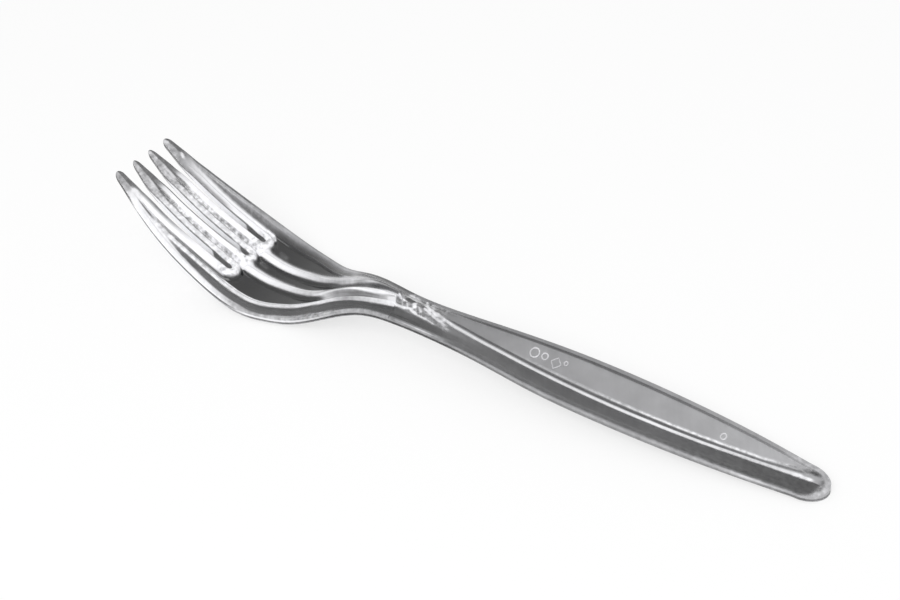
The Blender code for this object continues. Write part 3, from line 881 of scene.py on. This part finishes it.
def crystal_polystyrene():
    """Crystal polystyrene, injection moulded: clear and glossy, coloured by the painted brightness:
    painted light on the ribs and edges where the section would gather light, smoky webs between
    them and finely frosted handle flanks."""
    material = bpy.data.materials.new("crystal_polystyrene")
    material.use_nodes = True
    material.node_tree.nodes.clear()
    tone, frost, grain, plan = (add(material, "ShaderNodeAttribute", {"attribute_name": name})
                                for name in ("tone", "frost", "grain", "plan"))
    strengths = add(material, "ShaderNodeSeparateXYZ", Vector=grain.outputs["Vector"])
    place = add(material, "ShaderNodeTexCoord")

    # Brightness: the smoky tint with its painted light and shade, with frosted speckle, faint
    # clouds, slanting streaks and the neck's fan
    slanted = add(material, "ShaderNodeMapping", {"vector_type": "TEXTURE"},
                  Vector=plan.outputs["Vector"], Rotation=(0, 0, STREAK_SLANT),
                  Scale=(STREAK_LENGTH, STREAK_WIDTH, UNCHANGING))
    fanned = add(material, "ShaderNodeMapping", Vector=plan.outputs["Vector"],
                 Scale=(1 / FAN_LENGTH, 0, 1 / FAN_SHARE))
    level = tone.outputs["Fac"]
    for vector, scale, strength in (
            (place.outputs["Object"], 1 / SPECK, strengths.outputs["X"]),
            (place.outputs["Object"], 1 / BLOTCH, CLOUD),
            (slanted.outputs["Vector"], 1, strengths.outputs["Y"]),
            (fanned.outputs["Vector"], 1, strengths.outputs["Z"])):
        noise = add(material, "ShaderNodeTexNoise", Vector=vector, Scale=scale, Detail=NOISE_DETAIL)
        about_nought = add(material, "ShaderNodeMath", {"operation": "SUBTRACT"},
                           _0=noise.outputs["Fac"], _1=.5)
        level = add(material, "ShaderNodeMath", {"operation": "MULTIPLY_ADD"},
                    _0=about_nought.outputs["Value"], _1=strength, _2=level).outputs["Value"]
    light = add(material, "ShaderNodeMath", {"operation": "POWER", "use_clamp": True},
                _0=level, _1=EYE_POWER)
    colour = add(material, "ShaderNodeMix", {"data_type": "RGBA"}, Factor=light.outputs["Value"])
    colour.inputs["A"].default_value = linear("#050507")
    colour.inputs["B"].default_value = linear("#FCFCFF")

    # It lets most light through where it is dark, and turns white and opaque where its painted
    # light is bright; it is rougher where it is frosted
    through = add(material, "ShaderNodeMapRange", Value=level, From_Min=DARK, From_Max=BRIGHT,
                  To_Min=CLEAR, To_Max=WHITE)
    rough = add(material, "ShaderNodeMapRange", Value=frost.outputs["Fac"],
                To_Min=POLISHED, To_Max=FROSTED)
    skin = add(material, "ShaderNodeBsdfPrincipled", Base_Color=colour.outputs["Result"],
               Roughness=rough.outputs["Result"], IOR=REFRACTION,
               Transmission_Weight=through.outputs["Result"])
    add(material, "ShaderNodeOutputMaterial", Surface=skin.outputs["BSDF"])
    return material


def make_fork():
    """The fork, one moulding, in place of the solid of that name."""
    fork = bpy.data.objects.new("clear_fork", fork_surface())
    bpy.context.scene.collection.objects.link(fork)
    fork.data.materials.append(crystal_polystyrene())
    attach(fork, "root")
    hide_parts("fork")


# The photograph's camera, worked out from the fork's outline, with lens and sensor in mm
CAMERA_AZIMUTH = math.radians(42.14)
CAMERA_ELEVATION = math.radians(37.26)
CAMERA_ROLL = math.radians(-9.06)
CAMERA_DISTANCE = 0.33725
CAMERA_SIDE = 0.00004
CAMERA_UP = 0.01174
CAMERA_LENS = 59.33
CAMERA_SENSOR = 36
CAMERA_NEAR = .01


def make_camera():
    """Camera at the photograph's viewing angle, turned about its own axis by the roll."""
    level = math.cos(CAMERA_ELEVATION)
    back = Vector((math.sin(CAMERA_AZIMUTH) * level, -math.cos(CAMERA_AZIMUTH) * level,
                   math.sin(CAMERA_ELEVATION)))
    right = Vector((math.cos(CAMERA_AZIMUTH), math.sin(CAMERA_AZIMUTH), 0))
    up = back.cross(right)
    x_axis = right * math.cos(CAMERA_ROLL) + up * math.sin(CAMERA_ROLL)
    y_axis = up * math.cos(CAMERA_ROLL) - right * math.sin(CAMERA_ROLL)
    place = back * CAMERA_DISTANCE + x_axis * CAMERA_SIDE + y_axis * CAMERA_UP
    data = bpy.data.cameras.new("camera")
    data.lens = CAMERA_LENS
    data.sensor_width = CAMERA_SENSOR
    data.sensor_fit = "HORIZONTAL"
    data.clip_start = CAMERA_NEAR
    camera = bpy.data.objects.new("camera", data)
    turn = Matrix((x_axis, y_axis, back)).transposed().to_4x4()
    camera.matrix_world = Matrix.Translation(place) @ turn
    bpy.context.scene.collection.objects.link(camera)
    bpy.context.scene.camera = camera


def softbox(name, toward, far, wide, bright):
    """A square lamp at a direction and distance, of an even brightness (white is 1).

    Its power is the brightness times pi times its area.
    """
    data = bpy.data.lights.new(name, "AREA")
    data.shape = "SQUARE"
    data.size = wide
    data.energy = bright * math.pi * wide ** 2
    lamp = bpy.data.objects.new(name, data)
    direction = Vector(toward).normalized()
    lamp.location = direction * far
    lamp.rotation_euler = direction.to_track_quat("Z", "Y").to_euler()
    bpy.context.scene.collection.objects.link(lamp)


PLAIN_WHITE = 1.0
WORLD_LIGHT = .7          # what the surroundings light with; they are seen as plain white
FLOOR_WHITE_SHARE = .68   # how much plain white the floor shows; the rest takes the shadow
FLOOR_HALF = 3            # half the floor's width


def seen(owner):
    """One for rays from the camera, from a reflection or through the plastic, else nought."""
    rays = add(owner, "ShaderNodeLightPath")
    found = rays.outputs["Is Camera Ray"]
    for kind in ("Is Glossy Ray", "Is Transmission Ray"):
        found = add(owner, "ShaderNodeMath", {"operation": "MAXIMUM"},
                    _0=found, _1=rays.outputs[kind]).outputs["Value"]
    return found


def make_stage():
    """A wide pale floor, even world light and one softbox."""
    mesh = bpy.data.meshes.new("floor")
    corners = [(FLOOR_HALF * i, FLOOR_HALF * j, 0) for i, j in ((-1, -1), (1, -1), (1, 1), (-1, 1))]
    mesh.from_pydata(corners, [], [(0, 1, 2, 3)])
    floor = bpy.data.objects.new("floor", mesh)
    bpy.context.scene.collection.objects.link(floor)
    material = bpy.data.materials.new("pale_floor")
    material.use_nodes = True
    material.node_tree.nodes.clear()
    lit = add(material, "ShaderNodeBsdfDiffuse", Color=linear("#F6F6F6"))
    white = add(material, "ShaderNodeEmission", Strength=PLAIN_WHITE)
    share = add(material, "ShaderNodeMath", {"operation": "MULTIPLY"},
                _0=seen(material), _1=FLOOR_WHITE_SHARE)
    mix = add(material, "ShaderNodeMixShader", _0=share.outputs["Value"],
              _1=lit.outputs["BSDF"], _2=white.outputs["Emission"])
    add(material, "ShaderNodeOutputMaterial", Surface=mix.outputs["Shader"])
    floor.data.materials.append(material)
    world = bpy.data.worlds.new("studio")
    world.use_nodes = True
    world.node_tree.nodes.clear()
    strength = add(world, "ShaderNodeMapRange", Value=seen(world),
                   To_Min=WORLD_LIGHT, To_Max=PLAIN_WHITE)
    sky = add(world, "ShaderNodeBackground", Color=linear("#FFFFFF"),
              Strength=strength.outputs["Result"])
    add(world, "ShaderNodeOutputWorld", Surface=sky.outputs["Background"])
    bpy.context.scene.world = world
    softbox("key_softbox", toward=(.2, -.62, .74), far=1.2, wide=.9, bright=3.2)


make_camera()
make_fork()
make_stage()
bpy.context.scene.view_settings.view_transform = "Standard"
